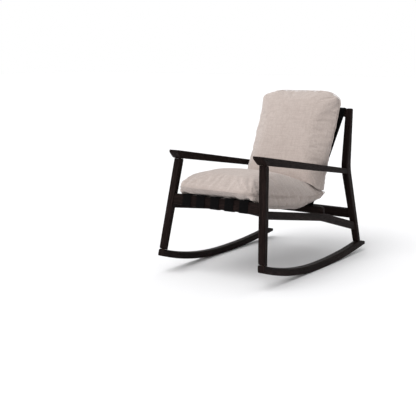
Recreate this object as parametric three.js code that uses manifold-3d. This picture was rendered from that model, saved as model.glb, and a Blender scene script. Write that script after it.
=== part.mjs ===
// Rocking lounge chair: two splayed side frames on curved runners, four rails between them,
// black webbing straps that make a sling, and two loose pillow cushions.
// Millimetres, +Z up. The sitter faces -Y and +X is the sitter's left.
// While it is built, Y = 0 and Z = 0 are where the runners touch the floor. The last lines move
// the whole chair so that its origin is the middle of its footprint.
import * as THREE from 'three';
import * as BufferGeometryUtils from 'three/addons/utils/BufferGeometryUtils.js';
import Module from 'manifold-3d';

const wasm = await Module();
wasm.setup();

// ---------- driving dimensions ----------
const gap = 0.3; // clearance between pieces that touch

// side frames
const floorHalfWidth = 306; // outer face of a runner, at the floor, from the middle of the chair
const splay = 0.0986; // how far a side frame leans in for each millimetre of height
const frameThick = 34.5; // legs, posts and runners, across the chair
const edgeRound = 4; // rounding of the long edges of the side frame pieces
const rake = 0.17; // fall per millimetre, front to back, of the seat and the arms

// runners
const frontRadius = 1600; // of the underside, in front of where it touches the floor
const rearRadius = 3300; // and behind it
const restFlat = 24; // level stretch between the two arcs, on which the chair comes to rest
const runnerDepth = 34;
const frontReach = 524; // from the floor contact forward to the front of the leg's foot
const tailReach = 488; // from the floor contact back to the tip of the tail
const tailTip = 14; // height of the blunt end of the tail
const facet = 24; // length of each flat of the two arcs

// front legs
const legTopDepth = 34;
const legFootDepth = 27;
const legLean = 0.16; // how far the leg's front face runs back for each millimetre of height

// arms
const armClearance = 21.5; // from the seat cushion, at the legs, up to the arms
const armFrontDepth = 37;
const armRearDepth = 28;
const armFrontWidth = 54;
const armRearWidth = 37;
const armNose = 30; // overhang of the nose in front of the leg

// back posts, bent at the arm
const kneeBack = 348; // centre of the bend, behind the floor contact
const kneeDepth = 46;
const postTopHeight = 750;
const postTopDepth = 23;
const postFootDepth = 25;
const postUpperLean = 0.272;
const postLowerLean = 0.183;

// side rails, bent under the rear edge of the seat
const sideRailThick = 24.5;
const sideRailInset = 5; // behind the outer face of the side frame
const sideRailBend = { y: 48, z: 224 }; // underside of the bend
const sideRailDepth = 36;
const sideRailRearFall = 0.29;
const sideRailTopBend = 40; // how far the bend of the top lies behind that of the underside

// rails across the chair
const railThick = 22;
const frontRailDepth = 52;
const frontRailInset = 4; // behind the leg's front face
const frontRailTop = 382;
const crossRailDepth = 33;
const crossRailThick = 26;
const crossRailBack = 17; // its middle, behind the bend of the side rails' underside
const crossRailBearing = 19; // how much of a side rail's thickness it rests on
const rearRailDepth = 49;
const rearRailMiddle = 210;
const crestRailDepth = 42;
const crestRailDrop = 2; // top of the crest rail below the top of the posts
const crestForward = 4; // crest rail stands this far in front of the middle of the posts

// straps
const strapCount = 5;
const strapWidth = 46;
const strapThick = 2.4;
const seatStrapMargin = 53; // from the outer straps to the side frames, at the front rail
const backStrapMargin = 3; // and at the crest rail
const battenThick = 5;
const battenDepth = 14;

// cushions
const cushionGap = 1.5;
const seatSideGap = 3.5; // from the seat cushion to the side frames, at its upper edge
const seatCushionThick = 135;
const seatCushionOverhang = 22; // in front of the front rail
const backSideGap = 6.5; // from the back cushion to the arms, where its front face passes them
const backCushionThick = 145;
const backCushionRise = 86; // above the tops of the posts
const backCushionLean = 0.44;
const backCushionAhead = 46; // its rear face, in front of the tops of the posts
const cushionRound = 18; // rounding of the rim of each side
const cushionCorner = 64; // how far from a corner of the side view its rounding starts

// dowels
const dowelRadius = 5;
const dowelLength = 36;

// ---------- materials ----------
const wood = new THREE.MeshStandardMaterial({ color: 0x2b2321, roughness: 0.55, metalness: 0 });
const webbing = new THREE.MeshStandardMaterial({ color: 0x17161a, roughness: 0.75, metalness: 0 });
const linen = new THREE.MeshStandardMaterial({ color: 0xd2c8c1, roughness: 0.95, metalness: 0 });
const beech = new THREE.MeshStandardMaterial({ color: 0xc8a878, roughness: 0.7, metalness: 0 });

const pieces = new Map(); // name -> { geometry, material }

function addPiece(name, geometry, material) {
  pieces.set(name, { geometry, material });
}

// ---------- geometry helpers ----------
// Points are [y, z] pairs in the plane of a side view.
function shapeOf(points) {
  return new THREE.Shape(points.map(([y, z]) => new THREE.Vector2(y, z)));
}

function pointOnLine(from, slopeYperZ, z) {
  return [from[0] + (z - from[1]) * slopeYperZ, z];
}

// Where the line through two points crosses the line y = y0 + m (z - z0).
function crossing([ya, za], [yb, zb], [y0, z0], m) {
  const run = yb - ya;
  const rise = zb - za;
  const t = (y0 + m * (za - z0) - ya) / (run - m * rise);
  return [ya + run * t, za + rise * t];
}

// Where the line from a point that falls by `fall` for each millimetre of y meets such a line.
function meeting([y, z], fall, start, m) {
  return crossing([y, z], [y + 1, z - fall], start, m);
}

// Height at y of the curve that runs at a constant distance, `rise`, above the runner's underside.
function curveHeight(rise, y) {
  const radius = y < 0 ? frontRadius : rearRadius;
  const along = Math.max(Math.abs(y) - restFlat / 2, 0);
  return radius - Math.sqrt((radius - rise) ** 2 - along ** 2);
}

// That curve's point on the line y = y0 + m (z - z0), found by a few fixed-point steps.
function curvePoint(rise, [y0, z0], m) {
  let z = curveHeight(rise, y0);
  for (let step = 0; step < 20; step += 1) {
    z = curveHeight(rise, y0 + m * (z - z0));
  }
  return [y0 + m * (z - z0), z];
}

// A section's four corners, counter-clockwise in (y, z), from the middle of the section:
// depth runs up along (lean, 1), thickness runs across it.
function section([y, z], depth, thick, lean) {
  const length = Math.hypot(lean, 1);
  const up = [(lean / length) * depth / 2, depth / 2 / length];
  const back = [thick / 2 / length, (-lean / length) * thick / 2];
  return [
    [y - up[0] - back[0], z - up[1] - back[1]],
    [y - up[0] + back[0], z - up[1] + back[1]],
    [y + up[0] + back[0], z + up[1] + back[1]],
    [y + up[0] - back[0], z + up[1] - back[1]],
  ];
}

function flipWinding(geometry) {
  const index = geometry.index.array;
  for (let i = 0; i < index.length; i += 3) {
    [index[i + 1], index[i + 2]] = [index[i + 2], index[i + 1]];
  }
}

function weld(geometry) {
  geometry.deleteAttribute('normal');
  geometry.deleteAttribute('uv');
  return BufferGeometryUtils.mergeVertices(geometry, 1e-4);
}

// Extrudes an outline to the given depth, its rim rounded by `round`, then places each vertex
// by `place(y, z, t)`, t being the depth from 0 to `depth`.
function slab(points, depth, round, place, mirrored) {
  const geometry = weld(new THREE.ExtrudeGeometry(shapeOf(points), {
    depth: depth - 2 * round,
    bevelEnabled: round > 0,
    bevelThickness: round,
    bevelSize: round,
    bevelOffset: -round,
    bevelSegments: 3,
    curveSegments: 12,
  }));
  const position = geometry.attributes.position;
  for (let i = 0; i < position.count; i += 1) {
    const t = position.getZ(i) + round;
    position.setXYZ(i, ...place(position.getX(i), position.getY(i), t));
  }
  if (mirrored) {
    flipWinding(geometry);
  }
  return geometry;
}

// A board in a splayed side frame. Its outer face is `inset` inside the frame's outer face.
function sideBoard(points, thick, inset, side, round = edgeRound) {
  const place = (y, z, t) => [side * (floorHalfWidth - splay * z - inset - t), y, z];
  return slab(points, thick, round, place, side > 0);
}

// A rail across the chair with a constant section. Its ends follow the splay at `reach` from
// the middle of the chair, measured at the floor.
function crossBar(points, reach) {
  const nominal = 100;
  const place = (y, z, t) => {
    const end = reach - splay * z;
    return [end * (2 * t / nominal - 1), y, z];
  };
  return slab(points, nominal, 0, place, false);
}

function toManifold(geometry) {
  const bare = weld(geometry.clone());
  return new wasm.Manifold(new wasm.Mesh({
    numProp: 3,
    vertProperties: new Float32Array(bare.attributes.position.array),
    triVerts: new Uint32Array(bare.index.array),
  }));
}

function fromManifold(solid) {
  const mesh = solid.getMesh();
  const geometry = new THREE.BufferGeometry();
  geometry.setAttribute('position', new THREE.BufferAttribute(mesh.vertProperties, 3));
  geometry.setIndex(new THREE.BufferAttribute(mesh.triVerts, 1));
  return geometry;
}

// ---------- the lines of the side view, shared by the pieces ----------
const footRise = runnerDepth + gap; // feet of the legs and posts, above the runner's underside
const legFootFront = [-frontReach, curveHeight(0, -frontReach)];
const upright = (lean) => 1 / Math.hypot(lean, 1);

function legFront(z) {
  return pointOnLine(legFootFront, legLean, z)[0];
}

// Inner face of a side frame, from the middle of the chair, at a height.
function innerFace(z) {
  return floorHalfWidth - frameThick - splay * z;
}

function sideRailTop(y) {
  return sideRailBend.z + sideRailDepth * Math.hypot(1, rake) - rake * (y - sideRailBend.y);
}

const topBend = sideRailBend.y + sideRailTopBend;

// The seat: its straps run from the front rail to the cross rail.
const frontRailZ = frontRailTop - (frontRailDepth / 2) * upright(legLean);
const frontRailY = legFront(frontRailZ) + frontRailInset + railThick / 2;
const frontRail = section([frontRailY, frontRailZ], frontRailDepth, railThick, legLean);

const crossRailY = sideRailBend.y + crossRailBack;
const crossRailRise = (gap + crossRailDepth / 2) * upright(rake);
const crossRailMiddle = [crossRailY + rake * crossRailRise, sideRailTop(crossRailY) + crossRailRise];
const crossRail = section(crossRailMiddle, crossRailDepth, crossRailThick, rake);
const crossRailReach = floorHalfWidth - sideRailInset - sideRailThick + crossRailBearing;

const seatRise = gap + strapThick + cushionGap;
const seatSlope = (crossRail[3][1] - frontRail[3][1]) / (crossRail[3][0] - frontRail[3][0]);
const seatUnder = (y) => frontRail[3][1] + seatSlope * (y - frontRail[3][0]) + seatRise;
const seatTop = (y) => seatUnder(y) + seatCushionThick * Math.hypot(1, seatSlope);

// The arms stand clear of the seat cushion, and the posts bend at the arms' rear ends.
const armUnderFront = seatTop(legFront(frontRailTop)) + armClearance;
const legTopFront = pointOnLine(legFootFront, legLean, armUnderFront);
const armTopLine = (y) => armUnderFront + armFrontDepth - rake * (y - legTopFront[0]);
const kneeFrontY = kneeBack - kneeDepth / 2;
const kneeHeight = armTopLine(kneeFrontY);

function armUnderLine(y) {
  const along = (y - legTopFront[0]) / (kneeFrontY - legTopFront[0]);
  return armTopLine(y) - THREE.MathUtils.lerp(armFrontDepth, armRearDepth, along);
}

function armWidthAt(y) {
  const along = (y - legTopFront[0]) / (kneeFrontY - legTopFront[0]);
  return THREE.MathUtils.lerp(armFrontWidth, armRearWidth, along);
}

// The leg's rear edge, which the side rail meets.
const legFoot = curvePoint(footRise, legFootFront, legLean);
const legFootRearY = legFoot[0] + legFootDepth;
const legFootRear = [legFootRearY, curveHeight(footRise, legFootRearY)];
const legTopRearY = legTopFront[0] + legTopDepth;
const legTopRear = [legTopRearY, armUnderLine(legTopRearY) - gap];
const legRearSlope = (legTopRear[0] - legFootRear[0]) / (legTopRear[1] - legFootRear[1]);

const postFootMiddle = curvePoint(footRise, [kneeBack, kneeHeight], -postLowerLean);
const postTopMiddle = pointOnLine([kneeBack, kneeHeight], postUpperLean, postTopHeight);
const kneeFront = [kneeFrontY, kneeHeight];
const kneeRear = [kneeBack + kneeDepth / 2, kneeHeight];

function postFoot(offset) {
  const y = postFootMiddle[0] + offset;
  return [y, curveHeight(footRise, y)];
}

const postFootFront = postFoot(-postFootDepth / 2);
const postFootRear = postFoot(postFootDepth / 2);
const postFrontSlope = (kneeFront[0] - postFootFront[0]) / (kneeFront[1] - postFootFront[1]);

// ---------- side frame pieces ----------
// The curve `rise` above the underside, with a point every facet from the level stretch on.
function runnerCurve(rise, from, to) {
  const stations = [];
  for (let y = restFlat / 2; y < Math.max(-from, to); y += facet) {
    stations.push(-y, y);
  }
  const inside = stations.filter((y) => y > from + facet / 3 && y < to - facet / 3);
  inside.sort((a, b) => a - b);
  return [from, ...inside, to].map((y) => [y, curveHeight(rise, y)]);
}

function runner(side) {
  const frontTop = curvePoint(runnerDepth, legFootFront, legLean);
  const bevelStart = postFootRear[0] + gap;
  const under = runnerCurve(0, -frontReach, tailReach);
  const tip = [tailReach, curveHeight(0, tailReach) + tailTip];
  const over = runnerCurve(runnerDepth, frontTop[0], bevelStart).reverse();
  return sideBoard([...under, tip, ...over], frameThick, 0, side);
}

function frontLeg(side) {
  const topFront = [legTopFront[0], armUnderLine(legTopFront[0]) - gap];
  return sideBoard([legFoot, legFootRear, legTopRear, topFront], frameThick, 0, side);
}

function backPost(side) {
  return sideBoard([
    postFootFront,
    postFootRear,
    kneeRear,
    [postTopMiddle[0] + postTopDepth / 2, postTopHeight],
    [postTopMiddle[0] - postTopDepth / 2, postTopHeight],
    kneeFront,
  ], frameThick, 0, side);
}

// The arm is wider than the frame, centred over it, and narrows towards the post.
function armrest(side) {
  const nose = legTopFront[0] - armNose;
  const noseUnder = legTopFront[0] - 2;
  const rearTop = [kneeFront[0] - gap, armTopLine(kneeFront[0] - gap)];
  const underZ = armUnderLine(kneeFrontY);
  const rearUnderY = kneeFront[0] + (underZ - kneeHeight) * postFrontSlope - gap;
  const points = [
    [noseUnder, armUnderLine(noseUnder)],
    [rearUnderY, armUnderLine(rearUnderY)],
    rearTop,
    [nose, armTopLine(nose)],
    [nose - 2, armTopLine(nose) - 9],
  ];
  const place = (y, z, t) => {
    const middle = floorHalfWidth - splay * z - frameThick / 2;
    return [side * (middle + armWidthAt(y) * (0.5 - t / armFrontWidth)), y, z];
  };
  return slab(points, armFrontWidth, edgeRound, place, side > 0);
}

function sideRail(side) {
  const legEdge = [legFootRear[0] + gap, legFootRear[1]];
  const postEdge = [kneeFront[0] - gap, kneeFront[1]];
  const underBend = [sideRailBend.y, sideRailBend.z];
  const topAtBend = [topBend, sideRailTop(topBend)];
  return sideBoard([
    meeting(underBend, rake, legEdge, legRearSlope),
    underBend,
    meeting(underBend, sideRailRearFall, postEdge, postFrontSlope),
    meeting(topAtBend, sideRailRearFall, postEdge, postFrontSlope),
    topAtBend,
    meeting(topAtBend, rake, legEdge, legRearSlope),
  ], sideRailThick, sideRailInset, side, 3);
}

// ---------- rails across the chair ----------
const innerReach = innerFace(0) - gap; // rails between the side frames

const rearRailY = kneeBack + postLowerLean * (kneeHeight - rearRailMiddle);
const rearRail = section([rearRailY, rearRailMiddle], rearRailDepth, railThick, -postLowerLean);

const crestZ = postTopHeight - crestRailDrop - (crestRailDepth / 2) * upright(postUpperLean);
const crestY = kneeBack + postUpperLean * (crestZ - kneeHeight) - crestForward;
const crestRail = section([crestY, crestZ], crestRailDepth, railThick, postUpperLean);

// ---------- straps ----------
// Offsets an open path by `distance` to its left, with mitred corners.
function offsetPath(path, distance) {
  const normals = path.slice(1).map(([y, z], i) => {
    const run = y - path[i][0];
    const rise = z - path[i][1];
    const length = Math.hypot(run, rise);
    return [-rise / length, run / length];
  });
  return path.map(([y, z], i) => {
    const a = normals[Math.max(i - 1, 0)];
    const b = normals[Math.min(i, normals.length - 1)];
    const scale = distance / (1 + a[0] * b[0] + a[1] * b[1]);
    return [y + (a[0] + b[0]) * scale, z + (a[1] + b[1]) * scale];
  });
}

// The side view of a strap that runs along a path, `gap` clear of it on the given side.
function strapOutline(path, sideSign) {
  const near = offsetPath(path, sideSign * gap);
  const far = offsetPath(path, sideSign * (gap + strapThick));
  const outline = [...near, ...far.reverse()];
  return THREE.ShapeUtils.area(shapeOf(outline).getPoints()) < 0 ? outline.reverse() : outline;
}

function strap(outline, middle) {
  const place = (y, z, t) => [middle - strapWidth / 2 + t, y, z];
  return slab(outline, strapWidth, 0, place, false);
}

// Distance between the straps' centre lines when the outer ones stand `margin` clear of the
// side frames at a height.
function strapPitch(margin, z) {
  return (innerFace(z) - margin - strapWidth / 2) / ((strapCount - 1) / 2);
}

function between(a, b, share) {
  return [a[0] + (b[0] - a[0]) * share, a[1] + (b[1] - a[1]) * share];
}

// Corners of a section: 0 lower front, 1 lower rear, 2 upper rear, 3 upper front.
const seatStrapPath = [
  between(frontRail[1], frontRail[0], 0.1),
  frontRail[0],
  frontRail[3],
  frontRail[2],
  crossRail[3],
  crossRail[2],
  between(crossRail[2], crossRail[1], 0.6),
];

function awayFrom(point, lean, distance) {
  const length = Math.hypot(lean, 1);
  return [point[0] + distance / length, point[1] - (lean * distance) / length];
}

const layered = 3 * gap + 2 * strapThick; // a back strap's far side over a seat strap's end
const backStrapFoot = awayFrom(crossRail[1], rake, layered);
const backStrapTurn = awayFrom(between(crossRail[1], crossRail[2], 0.85), rake, layered);
const backStrapPath = [
  between(crestRail[2], crestRail[1], 0.7),
  crestRail[2],
  crestRail[3],
  crestRail[0],
  backStrapTurn,
  backStrapFoot,
];

// ---------- battens that clamp the strap ends ----------
const crossBatten = section(
  awayFrom(between(crossRail[1], crossRail[2], 0.3), rake, layered + battenThick / 2),
  battenDepth, battenThick, rake);
const crestBatten = section(
  awayFrom(between(crestRail[1], crestRail[2], 0.5), postUpperLean,
    2 * gap + strapThick + battenThick / 2),
  battenDepth, battenThick, postUpperLean);

// ---------- cushions ----------
const backPlane = offsetPath([crestRail[0], backStrapTurn], -(gap + strapThick + cushionGap));

// Where the plane in front of the back straps meets a line that falls with the seat.
function onBackPlane(height) {
  return crossing(backPlane[1], backPlane[0], [0, height(0)], 1 / seatSlope);
}

function roundedOutline(points, radius) {
  const path = new THREE.Path();
  points.forEach((corner, i) => {
    const before = points[(i + points.length - 1) % points.length];
    const after = points[(i + 1) % points.length];
    const toward = (other) => {
      const length = Math.hypot(other[0] - corner[0], other[1] - corner[1]);
      return between(corner, other, Math.min(radius / length, 0.45));
    };
    const start = toward(before);
    const end = toward(after);
    if (i === 0) {
      path.moveTo(...start);
    } else {
      path.lineTo(...start);
    }
    path.quadraticCurveTo(...corner, ...end);
  });
  path.closePath();
  const outline = path.getPoints(4).map((point) => [point.x, point.y]);
  outline.pop();
  return outline;
}

function cushion(points, halfWidth) {
  const place = (y, z, t) => [halfWidth - t, y, z];
  return slab(roundedOutline(points, cushionCorner), 2 * halfWidth, cushionRound, place, true);
}

const seatFrontY = frontRail[0][0] - seatCushionOverhang;
const seatCushionPoints = [
  [seatFrontY, seatUnder(seatFrontY)],
  onBackPlane(seatUnder),
  onBackPlane(seatTop),
  [seatFrontY + 14, seatTop(seatFrontY + 14)],
];

const backUnder = (y) => seatTop(y) + cushionGap;
const backCushionTop = postTopHeight + backCushionRise;
const backRearPoint = [postTopMiddle[0] - postTopDepth / 2 - backCushionAhead, postTopHeight];
const backShift = backCushionThick * Math.hypot(1, backCushionLean);
const backFrontPoint = [backRearPoint[0] - backShift, postTopHeight];
const alongSeat = (y) => [y, backUnder(y)];
const backCushionPoints = [
  crossing(alongSeat(0), alongSeat(100), backFrontPoint, backCushionLean),
  onBackPlane(backUnder),
  crossing(backPlane[1], backPlane[0], backRearPoint, backCushionLean),
  pointOnLine(backRearPoint, backCushionLean, backCushionTop),
  pointOnLine(backFrontPoint, backCushionLean, backCushionTop),
];

// Half widths: the seat cushion lies between the legs, the back cushion between the arms.
const seatCushionReach = innerFace(seatTop(seatFrontY)) - seatSideGap;
const [armY, armZ] = crossing([kneeFrontY, armTopLine(kneeFrontY)], [0, armTopLine(0)],
  backFrontPoint, backCushionLean);
const armInnerEdge = innerFace(armZ) + (frameThick - armWidthAt(armY)) / 2;
const backCushionReach = armInnerEdge - backSideGap;

// ---------- dowels ----------
function rod(radius, length, centre, direction) {
  const geometry = new THREE.CylinderGeometry(radius, radius, length, 16);
  const up = new THREE.Vector3(0, 1, 0);
  geometry.applyQuaternion(
    new THREE.Quaternion().setFromUnitVectors(up, direction.clone().normalize()));
  geometry.translate(...centre);
  return geometry;
}

// Bores both pieces of a joint and puts a dowel in the bore.
function dowelJoint(name, centre, direction, boredNames) {
  const bore = toManifold(rod(dowelRadius + gap, dowelLength + 2 * gap, centre, direction));
  for (const bored of boredNames) {
    const piece = pieces.get(bored);
    piece.geometry = fromManifold(toManifold(piece.geometry).subtract(bore));
  }
  addPiece(name, rod(dowelRadius, dowelLength, centre, direction), beech);
}

function midway(a, b) {
  return between(a, b, 0.5);
}

// A point and a direction given in the side view, carried into a splayed side frame.
function inFrame(side, [y, z]) {
  return [side * (floorHalfWidth - splay * z - frameThick / 2), y, z];
}

function alongFrame(side, [y, z]) {
  return new THREE.Vector3(-side * splay * z, y, z);
}

// ---------- assembly ----------
const sides = [['left', 1], ['right', -1]];

for (const [sideName, side] of sides) {
  addPiece(`runner_${sideName}`, runner(side), wood);
  addPiece(`front_leg_${sideName}`, frontLeg(side), wood);
  addPiece(`back_post_${sideName}`, backPost(side), wood);
  addPiece(`armrest_${sideName}`, armrest(side), wood);
  addPiece(`side_rail_${sideName}`, sideRail(side), wood);
}
addPiece('front_rail', crossBar(frontRail, innerReach), wood);
addPiece('cross_rail', crossBar(crossRail, crossRailReach), wood);
addPiece('rear_rail', crossBar(rearRail, innerReach), wood);
addPiece('crest_rail', crossBar(crestRail, innerReach), wood);

const seatStrapPitch = strapPitch(seatStrapMargin, frontRailTop);
const backStrapPitch = strapPitch(backStrapMargin, crestZ);
for (let i = 0; i < strapCount; i += 1) {
  const place = i - (strapCount - 1) / 2;
  addPiece(`seat_strap_${i + 1}`, strap(strapOutline(seatStrapPath, 1), place * seatStrapPitch), webbing);
  addPiece(`back_strap_${i + 1}`, strap(strapOutline(backStrapPath, -1), place * backStrapPitch), webbing);
}
addPiece('cross_batten', crossBar(crossBatten, innerReach - battenDepth), wood);
addPiece('crest_batten', crossBar(crestBatten, innerReach - gap), wood);

addPiece('seat_cushion', cushion(seatCushionPoints, seatCushionReach), linen);
addPiece('back_cushion', cushion(backCushionPoints, backCushionReach), linen);

const legDirection = [legLean, 1];
const armEnd = [kneeFrontY, (armTopLine(kneeFrontY) + armUnderLine(kneeFrontY)) / 2];
const footZ = curveHeight(runnerDepth, legFootFront[0] + legFootDepth / 2);
const legFootMiddle = [legFront(footZ) + legFootDepth / 2, footZ];
const legTopZ = armUnderLine(legTopFront[0] + legTopDepth / 2);
const legTopMiddle = [legTopFront[0] + legTopDepth / 2, legTopZ];
const railMiddle = (y) => sideRailTop(y) - (sideRailDepth / 2) * Math.hypot(1, rake);
const railFrontStart = [sideRailBend.y, railMiddle(sideRailBend.y)];
const railFrontJoint = meeting(railFrontStart, rake, legFootRear, legRearSlope);
const rearRun = [1, -sideRailRearFall];
const railRearStart = midway([sideRailBend.y, sideRailBend.z], [topBend, sideRailTop(topBend)]);
const railRearJoint = meeting(railRearStart, sideRailRearFall, kneeFront, postFrontSlope);
const crossRailFoot = [crossRailY, sideRailTop(crossRailY)];

for (const [sideName, side] of sides) {
  const runnerName = `runner_${sideName}`;
  const legName = `front_leg_${sideName}`;
  const postName = `back_post_${sideName}`;
  const armName = `armrest_${sideName}`;
  const railName = `side_rail_${sideName}`;
  const joint = (name, point, direction, bored) => dowelJoint(
    `dowel_${name}_${sideName}`, inFrame(side, point), alongFrame(side, direction), bored);
  joint('leg_runner', legFootMiddle, legDirection, [runnerName, legName]);
  joint('leg_arm', legTopMiddle, legDirection, [legName, armName]);
  joint('post_runner', postFootMiddle, [-postLowerLean, 1], [runnerName, postName]);
  joint('arm_post', armEnd, [1, -rake], [armName, postName]);
  joint('rail_leg', railFrontJoint, [1, -rake], [railName, legName]);
  joint('rail_post', railRearJoint, rearRun, [railName, postName]);
  joint('cross_rail', crossRailFoot, [rake, 1], ['cross_rail', railName]);

  const across = new THREE.Vector3(1, 0, 0);
  const atInnerFace = ([y, z]) => [side * innerFace(z), y, z];
  dowelJoint(`dowel_front_rail_${sideName}`, atInnerFace([frontRailY, frontRailZ]), across,
    ['front_rail', legName]);
  dowelJoint(`dowel_rear_rail_${sideName}`, atInnerFace([rearRailY, rearRailMiddle]), across,
    ['rear_rail', postName]);
  dowelJoint(`dowel_crest_rail_${sideName}`, atInnerFace([crestY, crestZ]), across,
    ['crest_rail', postName]);
}

const chair = new THREE.Group();
for (const [name, { geometry, material }] of pieces) {
  const mesh = new THREE.Mesh(geometry, material);
  mesh.name = name;
  chair.add(mesh);
}

// The origin is the middle of the footprint, at the floor.
const bounds = new THREE.Box3().setFromObject(chair);
chair.position.set(
  -(bounds.min.x + bounds.max.x) / 2, -(bounds.min.y + bounds.max.y) / 2, -bounds.min.z);

export default chair;
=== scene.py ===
# %% [markdown]
# A rocking lounge chair: dark stained timber on two curved runners, a sling of black webbing, and
# two loose cushions in natural linen. The engineering model is loaded first and never changed.
# Everything below adds the surfaces that an eye would notice, around that fixed frame.

# %% load the frame
import math

import bpy
import numpy as np
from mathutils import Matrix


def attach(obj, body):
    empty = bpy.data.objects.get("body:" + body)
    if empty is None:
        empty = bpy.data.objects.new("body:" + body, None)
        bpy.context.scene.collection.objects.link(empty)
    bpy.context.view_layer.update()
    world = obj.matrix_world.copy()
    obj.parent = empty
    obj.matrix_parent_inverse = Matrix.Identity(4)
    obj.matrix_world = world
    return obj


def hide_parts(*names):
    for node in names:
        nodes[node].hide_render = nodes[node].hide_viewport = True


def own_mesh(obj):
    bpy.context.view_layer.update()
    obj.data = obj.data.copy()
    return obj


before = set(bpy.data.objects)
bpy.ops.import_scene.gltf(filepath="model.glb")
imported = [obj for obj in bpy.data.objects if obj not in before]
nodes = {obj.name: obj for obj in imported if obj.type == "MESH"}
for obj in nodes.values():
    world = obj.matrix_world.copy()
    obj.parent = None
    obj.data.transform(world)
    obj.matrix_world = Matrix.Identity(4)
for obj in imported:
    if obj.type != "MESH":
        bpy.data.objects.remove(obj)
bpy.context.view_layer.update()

# %% [markdown]
# A long lens from a little below standing height, well to the sitter's left, shows the side of the
# chair and the front of its cushions together. The camera comes first, so that every later choice
# is judged from the same place.

# %% camera
CAMERA_PLACE = (2.1911, -3.5735, 1.030)
CAMERA_TILT = math.radians(79.691)
CAMERA_TURN = math.radians(35.578)
LENS_MM = 73.57
SENSOR_MM = 36.0

camera = bpy.data.objects.new("camera", bpy.data.cameras.new("camera"))
camera.data.lens = LENS_MM
camera.data.sensor_width = SENSOR_MM
camera.location = CAMERA_PLACE
camera.rotation_euler = (CAMERA_TILT, 0.0, CAMERA_TURN)
bpy.context.scene.collection.objects.link(camera)
bpy.context.scene.camera = camera
print("camera:", LENS_MM, "mm lens at", CAMERA_PLACE)

# %% [markdown]
# A studio floor is a pale sheet under a big soft light. A wide sun, high in front and to the left,
# gives the cushions their gentle shading. A bright sky keeps the shadow under the chair soft, and
# is dimmer to the right, so the sides that face that way stay darker than the fronts.

# %% floor and light
FLOOR_HALF = 30.0
FLOOR_COLOR = (0.86, 0.86, 0.87)
FLOOR_ROUGHNESS = 1.0
SKY_STRENGTH = 1.0
SKY_SHADED = 0.35
SKY_FADE_END = 0.8
SUN_STRENGTH = 1.75
SUN_SIZE = math.radians(50.0)
SUN_PLACE = np.array([-0.25, -0.9, 1.35])


def new_material(name):
    """A new material, its node tree and its Principled shader."""
    material = bpy.data.materials.new(name)
    material.use_nodes = True
    return material, material.node_tree, material.node_tree.nodes["Principled BSDF"]


pale_floor, _, pale_shader = new_material("pale_floor")
pale_shader.inputs["Base Color"].default_value = (*FLOOR_COLOR, 1.0)
pale_shader.inputs["Roughness"].default_value = FLOOR_ROUGHNESS
corners = [(-FLOOR_HALF, -FLOOR_HALF, 0), (FLOOR_HALF, -FLOOR_HALF, 0),
           (FLOOR_HALF, FLOOR_HALF, 0), (-FLOOR_HALF, FLOOR_HALF, 0)]
floor_mesh = bpy.data.meshes.new("floor")
floor_mesh.from_pydata(corners, [], [(0, 1, 2, 3)])
floor = bpy.data.objects.new("floor", floor_mesh)
floor.data.materials.append(pale_floor)
bpy.context.scene.collection.objects.link(floor)

light = bpy.data.lights.new("sun", "SUN")
light.energy = SUN_STRENGTH
light.angle = SUN_SIZE
sun = bpy.data.objects.new("sun", light)
sun.rotation_euler = (math.acos(SUN_PLACE[2] / np.linalg.norm(SUN_PLACE)), 0.0,
                      math.atan2(SUN_PLACE[1], SUN_PLACE[0]) + math.pi / 2)
bpy.context.scene.collection.objects.link(sun)

world = bpy.data.worlds.new("sky")
world.use_nodes = True
sky_tree = world.node_tree
background = sky_tree.nodes["Background"]
background.inputs["Color"].default_value = (1.0, 1.0, 1.0, 1.0)
sky_direction = sky_tree.nodes.new("ShaderNodeTexCoord").outputs["Generated"]
sky_axes = sky_tree.nodes.new("ShaderNodeSeparateXYZ")
sky_tree.links.new(sky_direction, sky_axes.inputs[0])
fade = sky_tree.nodes.new("ShaderNodeMapRange")
for place, value in enumerate((0.0, SKY_FADE_END, SKY_STRENGTH, SKY_SHADED), start=1):
    fade.inputs[place].default_value = value
sky_tree.links.new(sky_axes.outputs["X"], fade.inputs[0])
sky_tree.links.new(fade.outputs[0], background.inputs["Strength"])
bpy.context.scene.world = world
bpy.context.scene.view_settings.view_transform = "Standard"
print("light: sun", SUN_STRENGTH, "and sky", SKY_STRENGTH, "down to", SKY_SHADED)

# %% [markdown]
# Materials that share an effect share a node group. A small helper keeps the wiring readable: it
# adds a node, fills in its plain values, and joins whatever is already a socket.

# %% node helpers
def add_node(tree, kind, inputs=None, **settings):
    """Adds a node; each input is given either a value or another node's output socket."""
    node = tree.nodes.new(kind)
    for key, value in settings.items():
        setattr(node, key, value)
    for key, value in (inputs or {}).items():
        if isinstance(value, bpy.types.NodeSocket):
            tree.links.new(value, node.inputs[key])
        else:
            node.inputs[key].default_value = value
    return node


def math_node(tree, operation, first, second=0.0):
    """The output of a Math node."""
    return add_node(tree, "ShaderNodeMath", {0: first, 1: second}, operation=operation).outputs[0]


def map_range(tree, value, low, high, to_low=0.0, to_high=1.0):
    """The output of a Map Range node: low to high becomes to_low to to_high, clamped."""
    return add_node(tree, "ShaderNodeMapRange",
                    {0: value, 1: low, 2: high, 3: to_low, 4: to_high}).outputs[0]


def mix_colors(tree, share, first, second):
    """The colour that goes from first to second as share goes from 0 to 1."""
    node = add_node(tree, "ShaderNodeMix", {0: share, 6: first, 7: second}, data_type="RGBA")
    return node.outputs[2]


def new_group(name, inputs, outputs):
    """A shader node group with named sockets, and its two end nodes."""
    group = bpy.data.node_groups.new(name, "ShaderNodeTree")
    for label, kind, value in inputs:
        socket = group.interface.new_socket(label, in_out="INPUT", socket_type=kind)
        if value is not None:
            socket.default_value = value
    for label, kind in outputs:
        group.interface.new_socket(label, in_out="OUTPUT", socket_type=kind)
    given = group.nodes.new("NodeGroupInput").outputs
    return group, given, group.nodes.new("NodeGroupOutput").inputs


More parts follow.
